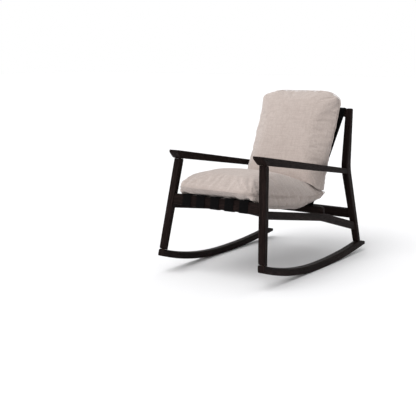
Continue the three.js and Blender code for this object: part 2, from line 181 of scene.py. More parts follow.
def noise(tree, vector, scale, detail=3.0, roughness=0.55):
    """A noise texture's value, about 0.5 on average."""
    return add_node(tree, "ShaderNodeTexNoise", {
        "Vector": vector, "Scale": scale, "Detail": detail, "Roughness": roughness}).outputs[0]


# %% [markdown]
# Stained ash and beech keep their open pores: long thin grooves along the board, a few millimetres
# apart, with broad bands of lighter and darker stain. Noise squeezed along one axis gives both.
# The group reads a vector whose first coordinate runs along the grain.

# %% timber grain group
GRAIN_STRETCH = (1.0, 22.0, 22.0)
BAND_SCALE, PORE_SCALE = 3.0, 26.0
SMOOTH_STAIN, OPEN_PORE = 0.52, 0.36


def make_grain_group():
    """Noise is stretched along X, so that it varies slowly along the board and fast across it."""
    group, given, out = new_group(
        "timber_grain",
        [("Vector", "NodeSocketVector", None), ("Dark", "NodeSocketColor", None),
         ("Light", "NodeSocketColor", None)],
        [("Color", "NodeSocketColor"), ("Height", "NodeSocketFloat"),
         ("Roughness", "NodeSocketFloat")])
    stretched = add_node(group, "ShaderNodeMapping",
                         {"Vector": given["Vector"], "Scale": GRAIN_STRETCH}).outputs[0]
    band = noise(group, stretched, BAND_SCALE, 2.0)
    pore = noise(group, stretched, PORE_SCALE, 4.0, 0.7)
    bands = map_range(group, band, 0.35, 0.68, 0.0, 0.75)
    pores = map_range(group, pore, 0.44, 0.62)
    shade = math_node(group, "MULTIPLY", bands, pores)
    group.links.new(mix_colors(group, shade, given["Dark"], given["Light"]), out["Color"])
    group.links.new(pores, out["Height"])
    group.links.new(map_range(group, pores, 0.0, 1.0, SMOOTH_STAIN, OPEN_PORE), out["Roughness"])
    return group


grain_group = make_grain_group()
print("group:", grain_group.name, "with", len(grain_group.nodes), "nodes")

# %% [markdown]
# Where hands and clothes rub, stain thins on the arrises. The lighter arrises are also a painted
# highlight, standing in for the light that catches the rounded edges. Every new timber carries an
# attribute called edge, 1 on its rounded corners and 0 on its faces, and this group turns it into a
# broken line of wear and painted highlight.

# %% edge wear and painted highlight group and timber materials
WEAR_AND_HIGHLIGHT_SCALE = 24.0
DARK_SPECULAR = 0.03


def make_wear_and_highlight_group():
    """The edge attribute times a patchy noise: a mask of wear and painted highlight, 0 to Amount.
    """
    group, given, out = new_group(
        "edge_wear",
        [("Vector", "NodeSocketVector", None), ("Amount", "NodeSocketFloat", 0.5)],
        [("Mask", "NodeSocketFloat")])
    edge = add_node(group, "ShaderNodeAttribute", attribute_name="edge").outputs["Fac"]
    patches = map_range(group, noise(group, given["Vector"], WEAR_AND_HIGHLIGHT_SCALE), 0.4, 0.7, 0.25)
    worn_and_highlight = math_node(group, "MULTIPLY", edge, patches)
    mask = math_node(group, "MULTIPLY", worn_and_highlight, given["Amount"])
    group.links.new(mask, out["Mask"])
    return group


wear_and_highlight_group = make_wear_and_highlight_group()


def timber_material(name, dark, light, worn_and_highlight, along_uv=True):
    """Grain along the board, a thinner stain and a painted highlight on its edges, and a satin
    coat.
    """
    material, tree, shader = new_material(name)
    coords = add_node(tree, "ShaderNodeTexCoord")
    vector = coords.outputs["UV"] if along_uv else coords.outputs["Object"]
    grain = add_node(tree, "ShaderNodeGroup", node_tree=grain_group)
    tree.links.new(vector, grain.inputs["Vector"])
    grain.inputs["Dark"].default_value = (*dark, 1.0)
    grain.inputs["Light"].default_value = (*light, 1.0)
    wear_and_highlight = add_node(tree, "ShaderNodeGroup", node_tree=wear_and_highlight_group)
    tree.links.new(coords.outputs["Object"], wear_and_highlight.inputs["Vector"])
    # Lighter arrises: stain thinned by wear, and a painted highlight along the rounded edges.
    color = mix_colors(tree, wear_and_highlight.outputs["Mask"], grain.outputs["Color"], (*worn_and_highlight, 1.0))
    tree.links.new(color, shader.inputs["Base Color"])
    tree.links.new(grain.outputs["Roughness"], shader.inputs["Roughness"])
    bump = add_node(tree, "ShaderNodeBump",
                    {"Strength": 0.35, "Distance": 0.0006, "Height": grain.outputs["Height"]})
    tree.links.new(bump.outputs[0], shader.inputs["Normal"])
    shader.inputs["Specular IOR Level"].default_value = DARK_SPECULAR
    return material


STAIN_DARK = (0.0062, 0.0038, 0.0034)
STAIN_LIGHT = (0.036, 0.022, 0.020)
# Colour of the arrises: thinner stain from wear, and a painted highlight.
STAIN_WORN_AND_HIGHLIGHT = (0.020, 0.013, 0.012)
BARE_DARK = (0.34, 0.20, 0.09)
BARE_LIGHT = (0.50, 0.33, 0.17)
stained = timber_material("stained_timber", STAIN_DARK, STAIN_LIGHT, STAIN_WORN_AND_HIGHLIGHT)
stained_solid = timber_material("stained_timber_solid", STAIN_DARK, STAIN_LIGHT, STAIN_WORN_AND_HIGHLIGHT, False)
bare = timber_material("bare_dowel", BARE_DARK, BARE_LIGHT, BARE_LIGHT, False)
print("timber materials:", stained.name, stained_solid.name, bare.name)

# %% [markdown]
# A timber is a section carried along a path. The engineering solids already hold each board's true
# shape, but with flats on its curves and sharp mitres at its bends. Each solid is cut by many
# planes across its length; every cut gives the four bounds of a section. Those bounds are smoothed
# along the board, which rounds the bends, and a rectangle with rounded corners is put back on each.

# %% sections of a solid
END_MARGIN = 2e-4
EASED_SHARE, EVEN_SHARE = 0.85, 0.15
END_REACH, LEAST_REACH = 0.35, 1e-4
SINGULAR = 1e-16


def triangles_of(node):
    """All triangles of a frame node as an array of shape (count, 3, 3)."""
    mesh = nodes[node].data
    mesh.calc_loop_triangles()
    index = np.zeros(len(mesh.loop_triangles) * 3, np.int32)
    mesh.loop_triangles.foreach_get("vertices", index)
    place = np.zeros(len(mesh.vertices) * 3)
    mesh.vertices.foreach_get("co", place)
    return place.reshape(-1, 3)[index].reshape(-1, 3, 3)


def sections(node, axes, count):
    """Bounds of a node's sections. axes holds three rows: travel, first and second direction. The
    stations crowd towards both ends, as (1 - cos a) / 2 does. The cut of an edge from p to q at
    station t is p + (q - p)(t - tp) / (tq - tp)."""
    travel, *spans = np.array(axes, float)
    corners_of = triangles_of(node)
    start = corners_of.reshape(-1, 3)
    stop = corners_of[:, [1, 2, 0]].reshape(-1, 3)
    t_start, t_stop = start @ travel, stop @ travel
    low, high = t_start.min(), t_start.max()
    margin = (high - low) * END_MARGIN
    eased = EASED_SHARE * (1.0 - np.cos(np.linspace(0.0, np.pi, count))) / 2.0
    share = eased + EVEN_SHARE * np.linspace(0.0, 1.0, count)
    stations = low + margin + (high - low - 2 * margin) * share
    bounds = np.zeros((count, 4))
    for i, t in enumerate(stations):
        cut = (t_start - t) * (t_stop - t) < 0
        k = ((t - t_start[cut]) / (t_stop[cut] - t_start[cut]))[:, None]
        points = start[cut] + (stop[cut] - start[cut]) * k
        for j, direction in enumerate(spans):
            value = points @ direction
            bounds[i, 2 * j:2 * j + 2] = value.min(), value.max()
    return stations, bounds


def soften(stations, bounds, width):
    """A line is fitted round each station, weighted by exp(-(distance / width)^2 / 2), and gives
    the new bound. The width shrinks towards the ends, so that they stay exact."""
    gap = stations[None, :] - stations[:, None]
    room = np.minimum(stations - stations[0], stations[-1] - stations)
    reach = np.minimum(width, END_REACH * room + LEAST_REACH)
    weight = np.exp(-0.5 * (gap / reach[:, None]) ** 2)
    s0, s1, s2 = weight.sum(1), (weight * gap).sum(1), (weight * gap ** 2).sum(1)
    scale = s0 * s2 - s1 ** 2
    safe = scale > SINGULAR
    fitted = (weight * (s2[:, None] - s1[:, None] * gap)) @ bounds
    result = bounds.copy()
    result[safe] = fitted[safe] / scale[safe, None]
    return result


print("sections: ends start", END_MARGIN, "of the length inside the solid")

# %% [markdown]
# The ring round a board has an arc at each corner and one extra point just inside each face, which
# keeps the faces flat under smooth shading. The texture map runs in metres along and round the
# board, so the grain follows every bend.

# %% carrying a section along a board
ARC_STEPS = 4
SUPPORT, SUPPORT_SHARE = 0.0015, 0.2
FIRST_SUPPORT, LAST_SUPPORT = -1.0, -2.0
LEAST_HALF = 0.0004
MOST_ROUND = 0.45


def mesh_object(name, points, faces, material):
    """A new smooth object at the origin from an array of points and a list of faces."""
    mesh = bpy.data.meshes.new(name)
    mesh.from_pydata(points.tolist(), [], faces)
    mesh.polygons.foreach_set("use_smooth", np.ones(len(mesh.polygons), bool))
    mesh.materials.append(material)
    piece = bpy.data.objects.new(name, mesh)
    bpy.context.scene.collection.objects.link(piece)
    return piece


def quads_between(a, b):
    """Quads that join each ring of indices in a to its neighbour in b."""
    return np.stack([a, np.roll(a, -1, 1), np.roll(b, -1, 1), b], 2).reshape(-1, 4).tolist()


def ring_pattern():
    """Corner, outward unit direction and edge value of each point of a rounded rectangle. The edge
    value is 1 on an arc, and marks the two support points beside it."""
    rows = []
    for corner, (sx, sy) in enumerate([(1, 1), (-1, 1), (-1, -1), (1, -1)]):
        first = corner * np.pi / 2
        arc = [(math.cos(first + a), math.sin(first + a), 1.0)
               for a in np.linspace(0.0, np.pi / 2, ARC_STEPS + 1)]
        rows += [(sx, sy, *arc[0][:2], FIRST_SUPPORT)] + [(sx, sy, *a) for a in arc] \
            + [(sx, sy, *arc[-1][:2], LAST_SUPPORT)]
    return np.array(rows)


RING = ring_pattern()


def ring_places(bounds, inset, radius):
    """Places of every ring's points in its own plane: the rectangle's corners moved in by the
    radius, plus the radius times a unit direction. inset draws a whole ring in."""
    middle = np.stack([bounds[:, 0] + bounds[:, 1], bounds[:, 2] + bounds[:, 3]], 1) / 2
    half = np.stack([bounds[:, 1] - bounds[:, 0], bounds[:, 3] - bounds[:, 2]], 1) / 2
    half = np.maximum(half - inset[:, None], LEAST_HALF)
    round_ = np.minimum(radius, MOST_ROUND * half.min(1))[:, None, None]
    corner = RING[None, :, 0:2] * (half[:, None, :] - round_)
    lift = RING[None, :, 2:4] * round_
    slide = np.zeros((1, len(RING), 2))
    first, last = RING[:, 4] == FIRST_SUPPORT, RING[:, 4] == LAST_SUPPORT
    slide[0, first] = np.stack([RING[first, 3], -RING[first, 2]], 1)
    slide[0, last] = np.stack([-RING[last, 3], RING[last, 2]], 1)
    room = np.minimum(SUPPORT, half.min(1) * SUPPORT_SHARE)[:, None, None]
    return middle[:, None, :] + corner + lift + slide * room


print("ring of", len(RING), "points")

# %% [markdown]
# A board's ends are rounded by quarter circles where they are cut free. Each board's map starts at
# a place of its own, so that no two boards show the same grain.

# %% building a board
MAP_SEEDS = 97
MAP_SHIFT = (0.37, 0.11)


def end_inset(stations, tips):
    """How far each section draws in: R - sqrt(R^2 - d^2) at a depth d inside a tip of radius R."""
    from_end = np.stack([stations - stations[0], stations[-1] - stations], 1)
    inset = np.zeros(len(stations))
    for side, tip in enumerate(tips):
        if tip > 0:
            depth = np.clip(tip - from_end[:, side], 0.0, tip)
            inset = np.maximum(inset, tip - np.sqrt(tip ** 2 - depth ** 2))
    return inset


def grain_map(piece, points, flat):
    """A texture map in metres, with the length along the board and the girth round it."""
    step = np.linalg.norm(np.diff(points[:, 0], axis=0), axis=1)
    length = np.concatenate([[0.0], np.cumsum(step)])
    ring_step = np.linalg.norm(np.roll(flat, -1, 1) - flat, axis=2).mean(0)
    girth = np.concatenate([[0.0], np.cumsum(ring_step)])[:len(RING)]
    uv = np.stack(np.broadcast_arrays(length[:, None], girth[None, :]), 2).reshape(-1, 2)
    loops = np.zeros(len(piece.data.loops), np.int32)
    piece.data.loops.foreach_get("vertex_index", loops)
    layer = piece.data.uv_layers.new(name="UVMap")
    seed = sum(map(ord, piece.name)) % MAP_SEEDS
    shift = [seed * MAP_SHIFT[0], seed * MAP_SHIFT[1]]
    layer.data.foreach_set("uv", (uv[loops] + shift).ravel())


def timber(name, node, axes, radius=0.005, width=0.016, count=150, tips=(0.0, 0.0)):
    """A board carried through the sections of a node. radius rounds its edges, width smooths its
    bends, and tips round its two ends."""
    stations, bounds = sections(node, axes, count)
    flat = ring_places(soften(stations, bounds, width), end_inset(stations, tips), radius)
    along = np.broadcast_to(stations[:, None, None], (count, len(RING), 1))
    points = np.concatenate([along, flat], 2) @ np.linalg.inv(np.array(axes, float)).T
    index = np.arange(count * len(RING)).reshape(count, len(RING))
    faces = quads_between(index[:-1], index[1:])
    faces += [index[0][::-1].tolist(), index[-1].tolist()]
    if np.linalg.det(np.array(axes, float)) < 0:
        faces = [face[::-1] for face in faces]
    piece = mesh_object(name, points.reshape(-1, 3), faces, stained)
    smooth = np.ones(len(faces), bool)
    smooth[-2:] = False
    piece.data.polygons.foreach_set("use_smooth", smooth)
    edge = piece.data.attributes.new("edge", "FLOAT", "POINT")
    edge.data.foreach_set("value", np.tile(np.maximum(RING[:, 4], 0.0), count).astype(np.float32))
    grain_map(piece, points, flat)
    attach(piece, "frame")
    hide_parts(node)
    print(name, "from", node, "with", len(faces), "faces")


# %% [markdown]
# The side frames lean in by the same slope all the way up, so a face of a board is a plane on which
# the sideways place plus the slope times the height stays constant. Giving the sections that
# direction keeps each board's faces true.

# %% side frame timbers
SPLAY = 0.0986
SIDES = {"left": 1.0, "right": -1.0}
ALONG_Y, ALONG_Z = (0, 1, 0), (0, 0, 1)
for side_name, side in SIDES.items():
    face = (side, 0, SPLAY)
    timber(f"runner_timber_{side_name}", f"runner_{side_name}", (ALONG_Y, ALONG_Z, face),
           count=190, tips=(0.0015, 0.006))
    timber(f"front_leg_timber_{side_name}", f"front_leg_{side_name}", (ALONG_Z, ALONG_Y, face))
    timber(f"back_post_timber_{side_name}", f"back_post_{side_name}", (ALONG_Z, ALONG_Y, face),
           width=0.020, tips=(0.0, 0.006))
    timber(f"arm_timber_{side_name}", f"armrest_{side_name}", (ALONG_Y, ALONG_Z, face),
           radius=0.006, width=0.004, tips=(0.006, 0.0))
    timber(f"side_rail_timber_{side_name}", f"side_rail_{side_name}", (ALONG_Y, ALONG_Z, face),
           radius=0.004, width=0.022)

# %% [markdown]
# The four rails across the chair are straight. Each is tilted with the member that carries it, so
# its section is measured along that lean and square to it.

# %% cross rails
RAIL_LEANS = {"front_rail": 0.16, "cross_rail": 0.17, "rear_rail": -0.183, "crest_rail": 0.272}
for rail, lean in RAIL_LEANS.items():
    size = math.hypot(lean, 1.0)
    up, back = (0, lean / size, 1 / size), (0, 1 / size, -lean / size)
    timber(f"{rail}_timber", rail, ((1, 0, 0), up, back), radius=0.003, count=48)


def give_material(node, material):
    """Puts one material on a frame node in place of its own."""
    node.data.materials.clear()
    node.data.materials.append(material)


for node in nodes.values():
    if node.name.startswith("dowel"):
        give_material(node, bare)
    elif node.name.endswith("batten"):
        give_material(node, stained_solid)

# %% [markdown]
# Seat webbing is a tight twill of black polyester with a faint satin sheen. Its ribs run along the
# strap about two millimetres apart, crossed by the finer weft.

# %% webbing
RIB_PITCH, WEFT_PITCH = 0.0023, 0.0017
WEBBING_DARK = (0.0008, 0.0008, 0.0009)
WEBBING_LIGHT = (0.0042, 0.0038, 0.0040)


def webbing_material():
    """Two crossed waves on object coordinates: ribs across X and weft along the strap."""
    material, tree, shader = new_material("black_webbing")
    vector = add_node(tree, "ShaderNodeTexCoord").outputs["Object"]
    parts = add_node(tree, "ShaderNodeSeparateXYZ", {0: vector}).outputs
    rib = math_node(tree, "SINE", math_node(tree, "MULTIPLY", parts["X"], 2 * math.pi / RIB_PITCH))
    run = math_node(tree, "SUBTRACT", parts["Z"], parts["Y"])
    weft = math_node(tree, "SINE", math_node(tree, "MULTIPLY", run, 2 * math.pi / WEFT_PITCH))
    height = math_node(tree, "ADD", rib, math_node(tree, "MULTIPLY", weft, 0.5))
    share = map_range(tree, height, -1.5, 1.5)
    color = mix_colors(tree, share, (*WEBBING_DARK, 1.0), (*WEBBING_LIGHT, 1.0))
    tree.links.new(color, shader.inputs["Base Color"])
    rough = map_range(tree, noise(tree, vector, 60.0), 0.3, 0.7, 0.42, 0.62)
    tree.links.new(rough, shader.inputs["Roughness"])
    bump = add_node(tree, "ShaderNodeBump", {"Strength": 0.5, "Distance": 0.0005, "Height": height})
    tree.links.new(bump.outputs[0], shader.inputs["Normal"])
    shader.inputs["Specular IOR Level"].default_value = DARK_SPECULAR
    return material


webbing = webbing_material()
straps = [node for node in nodes.values() if "_strap_" in node.name]
for strap in straps:
    give_material(strap, webbing)
print("webbing on", len(straps), "straps")

# %% [markdown]
# Linen is woven from uneven yarns. Threads two millimetres apart cross at right angles, some of
# them thicker, which shows as short pale and dark dashes. Three waves, one along each axis of the
# cushion, are added: on any face of the cushion the one square to it stands still, and the other
# two make the weave, so no texture map is needed.

# %% linen group and material
LINEN_SHADE = (0.365, 0.300, 0.270)
LINEN_LIGHT = (0.500, 0.430, 0.395)
LINEN_PITCH = 0.0021
BEND_SCALE, BEND_REACH = 18.0, 0.004
SLUB_SCALE, SLUB_STRETCH = 16.0, 14.0
CLOUD_SCALE, CLOUD_SHARE, SLUB_SHARE = 5.0, 0.3, 0.7
THREAD_SHARE = 0.35


def make_linen_group():
    """Sum of sines along the three axes, bent by noise; slubs are noise stretched along threads."""
    group, given, out = new_group(
        "linen_weave",
        [("Vector", "NodeSocketVector", None), ("Pitch", "NodeSocketFloat", 0.002)],
        [("Height", "NodeSocketFloat"), ("Slub", "NodeSocketFloat")])
    wander = add_node(group, "ShaderNodeTexNoise", {"Vector": given["Vector"], "Scale": BEND_SCALE})
    bend = add_node(group, "ShaderNodeVectorMath",
                    {0: wander.outputs["Color"], 1: (BEND_REACH,) * 3}, operation="MULTIPLY")
    moved = add_node(group, "ShaderNodeVectorMath",
                     {0: given["Vector"], 1: bend.outputs[0]}, operation="ADD").outputs[0]
    parts = add_node(group, "ShaderNodeSeparateXYZ", {0: moved}).outputs
    turn = math_node(group, "DIVIDE", 2 * math.pi, given["Pitch"])
    total = 0.0
    for label in "XYZ":
        wave = math_node(group, "SINE", math_node(group, "MULTIPLY", parts[label], turn))
        total = math_node(group, "ADD", wave, total)
    slubs = 0.0
    for axis in range(3):
        stretch = tuple(1.0 if axis == other else SLUB_STRETCH for other in range(3))
        squeezed = add_node(group, "ShaderNodeMapping",
                            {"Vector": given["Vector"], "Scale": stretch}).outputs[0]
        slubs = math_node(group, "ADD", noise(group, squeezed, SLUB_SCALE, 2.0), slubs)
    group.links.new(total, out["Height"])
    group.links.new(math_node(group, "MULTIPLY", slubs, 1 / 3), out["Slub"])
    return group


linen_group = make_linen_group()
print("group:", linen_group.name, "with", len(linen_group.nodes), "nodes")


def linen_material(name, lean):
    """Natural linen whose threads follow a cushion that leans back by an angle."""
    material, tree, shader = new_material(name)
    coords = add_node(tree, "ShaderNodeTexCoord").outputs["Object"]
    turned = add_node(tree, "ShaderNodeMapping",
                      {"Vector": coords, "Rotation": (lean, 0.0, 0.0)}).outputs[0]
    weave = add_node(tree, "ShaderNodeGroup", node_tree=linen_group)
    tree.links.new(turned, weave.inputs["Vector"])
    weave.inputs["Pitch"].default_value = LINEN_PITCH
    slub = map_range(tree, weave.outputs["Slub"], 0.40, 0.60, 0.15)
    cloud = noise(tree, coords, CLOUD_SCALE, 2.0)
    share = math_node(tree, "ADD", math_node(tree, "MULTIPLY", slub, SLUB_SHARE),
                      math_node(tree, "MULTIPLY", cloud, CLOUD_SHARE))
    color = mix_colors(tree, share, (*LINEN_SHADE, 1.0), (*LINEN_LIGHT, 1.0))
    tree.links.new(color, shader.inputs["Base Color"])
    threads = math_node(tree, "MULTIPLY", weave.outputs["Height"], THREAD_SHARE)
    height = math_node(tree, "ADD", threads, slub)
    bump = add_node(tree, "ShaderNodeBump",
                    {"Strength": 0.45, "Distance": 0.0008, "Height": height})
    tree.links.new(bump.outputs[0], shader.inputs["Normal"])
    shader.inputs["Roughness"].default_value = 0.92
    shader.inputs["Sheen Weight"].default_value = 0.25
    shader.inputs["Sheen Roughness"].default_value = 0.6
    shader.inputs["Specular IOR Level"].default_value = 0.2
    return material


# %% [markdown]
# A filled pillow has two panels that meet in a seam round its middle. Seen from above, its outline
# is a rounded square; where the maker folds a corner in, the outline is cut across. Seen from the
# side, both panels swell quickly from the seam and then run almost flat. The outline is a soft
# minimum of distances from the middle, and each profile is a superellipse between two skins.

# %% pillow shapes
CUT_POWER = 36.0


def outline(turn, half_x, half_y, power, cuts=()):
    """Distance from the middle to the outline at an angle: the soft minimum of a superellipse
    (|cos/a|^p + |sin/b|^p)^(-1/p) and of straight cuts d / (nx cos + ny sin)."""
    c, s = np.cos(turn), np.sin(turn)
    reach = (np.abs(c / half_x) ** power + np.abs(s / half_y) ** power) ** (-1 / power)
    for nx, ny, distance in cuts:
        toward = np.maximum((nx * c + ny * s) / distance, 1e-3)
        reach = (reach ** -CUT_POWER + toward ** CUT_POWER) ** (-1 / CUT_POWER)
    return reach


def pillow_grid(q_upper, q_lower, rings=64, steps=180):
    """Radius r, profile height h and angle t on a grid. Below the seam and above it the profile is
    r = cos(a)^(2/q), h = sin(a)^(2/q), with its own q on either side."""
    a = np.linspace(-np.pi / 2, np.pi / 2, rings)[:, None]
    t = np.linspace(0.0, 2 * np.pi, steps, endpoint=False)[None, :]
    q = np.where(a > 0, q_upper, q_lower)
    r = np.abs(np.cos(a)) ** (2 / q)
    h = np.sign(a) * np.abs(np.sin(a)) ** (2 / q)
    return r + 0 * t, h + 0 * t, t + 0 * a


def closed_faces(rings, steps):
    """Quads between neighbouring rings, and the two fans at the poles, for a grid whose first and
    last rings are single points."""
    index = 1 + np.arange((rings - 2) * steps).reshape(rings - 2, steps)
    quads = quads_between(index[:-1], index[1:])
    top = 1 + (rings - 2) * steps
    bottom_fan = [[0, int(q), int(p)] for p, q in zip(index[0], np.roll(index[0], -1))]
    top_fan = [[top, int(p), int(q)] for p, q in zip(index[-1], np.roll(index[-1], -1))]
    return quads + bottom_fan + top_fan


def smooth_curve(knots, at):
    """A smooth curve through (place, value) knots: a cubic with matched slopes between them."""
    x, y = np.array(knots, float).T
    slope = np.gradient(y, x)
    i = np.clip(np.searchsorted(x, at) - 1, 0, len(x) - 2)
    width = x[i + 1] - x[i]
    u = np.clip((at - x[i]) / width, 0.0, 1.0)
    return ((2 * u ** 3 - 3 * u ** 2 + 1) * y[i] + (u ** 3 - 2 * u ** 2 + u) * width * slope[i]
            + (3 * u ** 2 - 2 * u ** 3) * y[i + 1] + (u ** 3 - u ** 2) * width * slope[i + 1])


def smooth_step(low, high, value):
    """0 below low, 1 above high, and 3 u^2 - 2 u^3 between."""
    u = np.clip((value - low) / (high - low), 0.0, 1.0)
    return u * u * (3 - 2 * u)


# %% [markdown]
# The seat cushion lies on the straps, hangs a little below them beyond the outer ones, and is
# squeezed thin under the back cushion. Its skins and its seam are curves in the chair's own frame,
# with places along Y and heights along Z.

# %% seat cushion skins
SEAT_HALF_WIDTH = 0.225
SEAT_PLAN_FRONT, SEAT_PLAN_REAR = 7.0, 14.0
SEAT_FRONT, SEAT_REAR = -0.488, 0.222
SEAT_MIDDLE, SEAT_HALF = (SEAT_REAR + SEAT_FRONT) / 2, (SEAT_REAR - SEAT_FRONT) / 2
SEAT_UPPER_Q, SEAT_LOWER_Q = 3.4, 6.0
SEAT_CROWN = 0.006
SEAT_TOP = [(-0.50, 0.472), (-0.42, 0.484), (-0.32, 0.486), (-0.17, 0.476), (-0.03, 0.446),
            (0.12, 0.396), (0.22, 0.350)]
SEAT_SEAM = [(-0.50, 0.428), (-0.326, 0.398), (-0.155, 0.371), (0.09, 0.339), (0.21, 0.343)]
SEAT_SIDE_UNDER = [(-0.50, 0.374), (-0.43, 0.350), (-0.362, 0.331), (-0.165, 0.303),
                   (-0.031, 0.292), (0.089, 0.303), (0.172, 0.318), (0.21, 0.335)]
SEAT_HALF_THICK = 0.07
OUTER_STRAP_EDGE, STRAP_FADE = 0.182, 0.018
SEAT_STRAP_Y, SEAT_STRAP_Z, SEAT_STRAP_SLOPE = -0.432, 0.3829, 0.1724
LIFT_START, LIFT_SLOPE = 0.05, 0.55


def seat_straps(y):
    """Height of the seat straps' upper face."""
    return SEAT_STRAP_Z - SEAT_STRAP_SLOPE * (y - SEAT_STRAP_Y)


def between_straps(x):
    """1 where straps hold the cushion, fading to 0 outside the outer ones."""
    return 1 - smooth_step(OUTER_STRAP_EDGE, OUTER_STRAP_EDGE + STRAP_FADE, np.abs(x))


def seat_skin(x, y, r, h):
    """Height of the seat at a plan radius r, for a profile height h from -1 to 1."""
    top = smooth_curve(SEAT_TOP, y) + SEAT_CROWN * (1 - r ** 2)
    held = between_straps(x)
    under = held * (seat_straps(y) + LIFT_SLOPE * np.maximum(y - LIFT_START, 0.0)) \
        + (1 - held) * smooth_curve(SEAT_SIDE_UNDER, y)
    seam = smooth_curve(SEAT_SEAM, y)
    return seam + np.where(h > 0, top - seam, seam - under) * h


def seat_reach(turn):
    """Distance from the middle of the seat to its outline."""
    power = np.where(np.sin(turn) > 0, SEAT_PLAN_REAR, SEAT_PLAN_FRONT)
    return outline(turn, SEAT_HALF_WIDTH, SEAT_HALF, power)


def seat_top_at(x, y):
    """Height of the seat's upper skin above a place: h = (1 - r^q)^(1/q)."""
    reach = seat_reach(np.arctan2(y - SEAT_MIDDLE, x))
    r = np.minimum(np.hypot(x, y - SEAT_MIDDLE) / reach, 1.0)
    return seat_skin(x, y, r, (1 - r ** SEAT_UPPER_Q) ** (1 / SEAT_UPPER_Q))


def seat_points(shrink):
    """Points of the seat pillow; shrink leaves room for the filling to swell, a quarter of it in
    plan."""
    r, h, turn = pillow_grid(SEAT_UPPER_Q, SEAT_LOWER_Q)
    reach = seat_reach(turn) - shrink / 4
    x, y = r * reach * np.cos(turn), SEAT_MIDDLE + r * reach * np.sin(turn)
    return np.stack([x, y, seat_skin(x, y, r, h * (1 - shrink / SEAT_HALF_THICK))], 2)


print("seat from", SEAT_FRONT, "to", SEAT_REAR, "and", 2 * SEAT_HALF_WIDTH, "wide")


# %% [markdown]
# The back cushion is the same kind of pillow stood on its edge, with its two top corners folded
# in. It leans less than the straps behind it and stands on the rear of the seat, which cuts its
# lower edge to the seat's own curve.

# %% back cushion shape
BACK_HALF_WIDTH, BACK_PLAN = 0.228, 12.0
BACK_LEAN = 0.425
BACK_FOOT_Z, BACK_TOP_Z = 0.318, 0.842
BACK_MIDDLE_Y, BACK_MIDDLE_Z = 0.246, 0.600
BACK_HALF_THICK, BACK_CROWN = 0.060, 0.012
BACK_Q = 5.0
BACK_SWELL_FRONT, BACK_SWELL_REAR = 0.014, 0.024
SWELL_FADE = (-0.20, 0.14)
LEAN_SIZE = math.hypot(BACK_LEAN, 1.0)
BACK_UP = np.array([0.0, BACK_LEAN, 1.0]) / LEAN_SIZE
BACK_FORE = np.array([0.0, -1.0, BACK_LEAN]) / LEAN_SIZE
BACK_HALF_HEIGHT = (BACK_TOP_Z - BACK_FOOT_Z) / 2 * LEAN_SIZE
CORNER_CUT_X, CORNER_CUT_UP = 0.070, 0.040


def corner_cuts():
    """The two lines across the top corners, as unit normals and distances from the middle."""
    size = math.hypot(CORNER_CUT_X, CORNER_CUT_UP)
    nx, ny = CORNER_CUT_UP / size, CORNER_CUT_X / size
    distance = nx * (BACK_HALF_WIDTH - CORNER_CUT_X) + ny * BACK_HALF_HEIGHT
    return ((nx, ny, distance), (-nx, ny, distance))


def back_points(shrink):
    """Points of the back pillow: width along X, height along its lean, thickness square to it."""
    r, h, turn = pillow_grid(BACK_Q, BACK_Q)
    reach = outline(turn, BACK_HALF_WIDTH, BACK_HALF_HEIGHT, BACK_PLAN, corner_cuts()) - shrink / 4
    x, up = r * reach * np.cos(turn), r * reach * np.sin(turn)
    low = 1 - smooth_step(*SWELL_FADE, up)
    swell = np.where(h > 0, BACK_SWELL_FRONT, BACK_SWELL_REAR) * low
    fore = h * (BACK_HALF_THICK - shrink + BACK_CROWN * (1 - r ** 2) + swell)
    mid_z = (BACK_FOOT_Z + BACK_TOP_Z) / 2
    centre = np.array([0.0, BACK_MIDDLE_Y + BACK_LEAN * (mid_z - BACK_MIDDLE_Z), mid_z])
    across = np.stack([x, 0 * x, 0 * x], 2)
    return centre + across + up[..., None] * BACK_UP + fore[..., None] * BACK_FORE


print("back", round(2 * BACK_HALF_HEIGHT, 3), "high and", 2 * BACK_HALF_WIDTH, "wide")

# %% [markdown]
# Blender's cloth blows each cover up from inside. The shape is remeshed into even quads, the seam
# is pinned where the maker's stitching holds it, and twenty frames of pressure swell the panels
# until they puff and pucker beside the seam. A soft limit, cap tanh(d / cap), on how far a point
# moves keeps the cushion its size.

# %% filling a cushion
VOXEL = 0.006
FRAMES = 20
CLOTH = {"quality": 4, "mass": 0.25, "tension_stiffness": 12.0, "compression_stiffness": 4.0,
         "shear_stiffness": 4.0, "bending_stiffness": 1.0, "use_pressure": True,
         "uniform_pressure_force": 4.0, "shrink_min": -0.02}
SEAM_HALF = 0.005
SHRINK = 0.010
SWELL_CAP = 0.024
BLOCK = 32


def vertex_array(mesh):
    """The mesh's vertices as an array of shape (count, 3)."""
    flat = np.zeros(len(mesh.vertices) * 3)
    mesh.vertices.foreach_get("co", flat)
    return flat.reshape(-1, 3)


def distance_to_path(points, path):
    """Distance from each point to the nearest of a closed path's points."""
    best = np.full(len(points), 1e9)
    for start in range(0, len(path), BLOCK):
        block = path[start:start + BLOCK]
        gap = ((points[:, None, :] - block[None]) ** 2).sum(2).min(1)
        best = np.minimum(best, gap)
    return np.sqrt(best)


def dense_path(ring, parts):
    """A closed ring of points with extra points on a straight line between neighbours."""
    share = np.arange(parts) / parts
    ahead = np.roll(ring, -1, 0)
    return (ring[:, None] + (ahead - ring)[:, None] * share[None, :, None]).reshape(-1, 3)


def use_only(piece):
    """Makes a piece the only selected and the active one, as Blender's operators want."""
    bpy.ops.object.select_all(action="DESELECT")
    piece.select_set(True)
    bpy.context.view_layer.objects.active = piece


